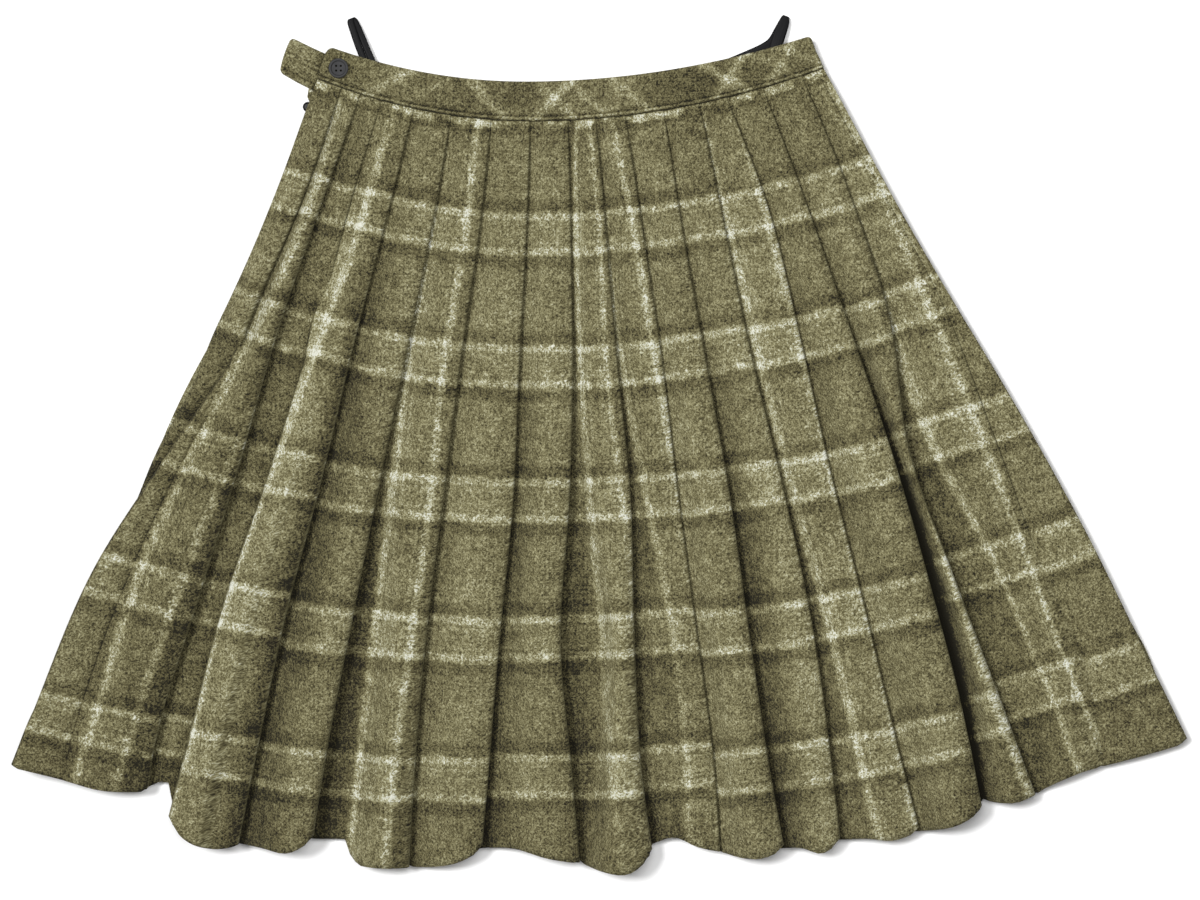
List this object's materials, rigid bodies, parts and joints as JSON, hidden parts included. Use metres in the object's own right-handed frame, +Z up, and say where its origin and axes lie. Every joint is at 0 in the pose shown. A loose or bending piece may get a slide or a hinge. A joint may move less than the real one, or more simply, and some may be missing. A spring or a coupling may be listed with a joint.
{
  "type": "pleated skirt",
  "caption": "Knee-length knife-pleated wool skirt laid flat, with a bias waistband, buttoned side tab and ribbon hanger loops.",
  "frame": {"origin": "middle of the skirt's outline, on the surface that it lies on", "axes": "+X to the viewer's right across the hem, +Y from the hem to the waist, +Z up from the surface"},
  "size_m": [0.8774, 0.6426, 0.0205],
  "materials": {
    "wool_plaid": "felted olive wool with a soft nap and pale woven check lines",
    "wool_bias": "the same felted wool cut on the bias, topstitched",
    "ribbon": "black satin ribbon",
    "button": "satin charcoal plastic",
    "snap_metal": "black enamelled"
  },
  "bodies": {
    "root": {"skirt_front": "wool_plaid", "skirt_back": "wool_plaid", "waistband_front": "wool_bias", "waistband_back": "wool_bias", "waistband_tab": "wool_bias", "placket_underlap": "wool_plaid", "placket_snap": "snap_metal", "waist_button": "button", "hanger_loop_left": "ribbon", "hanger_loop_right": "ribbon"}
  },
  "joints": []
}
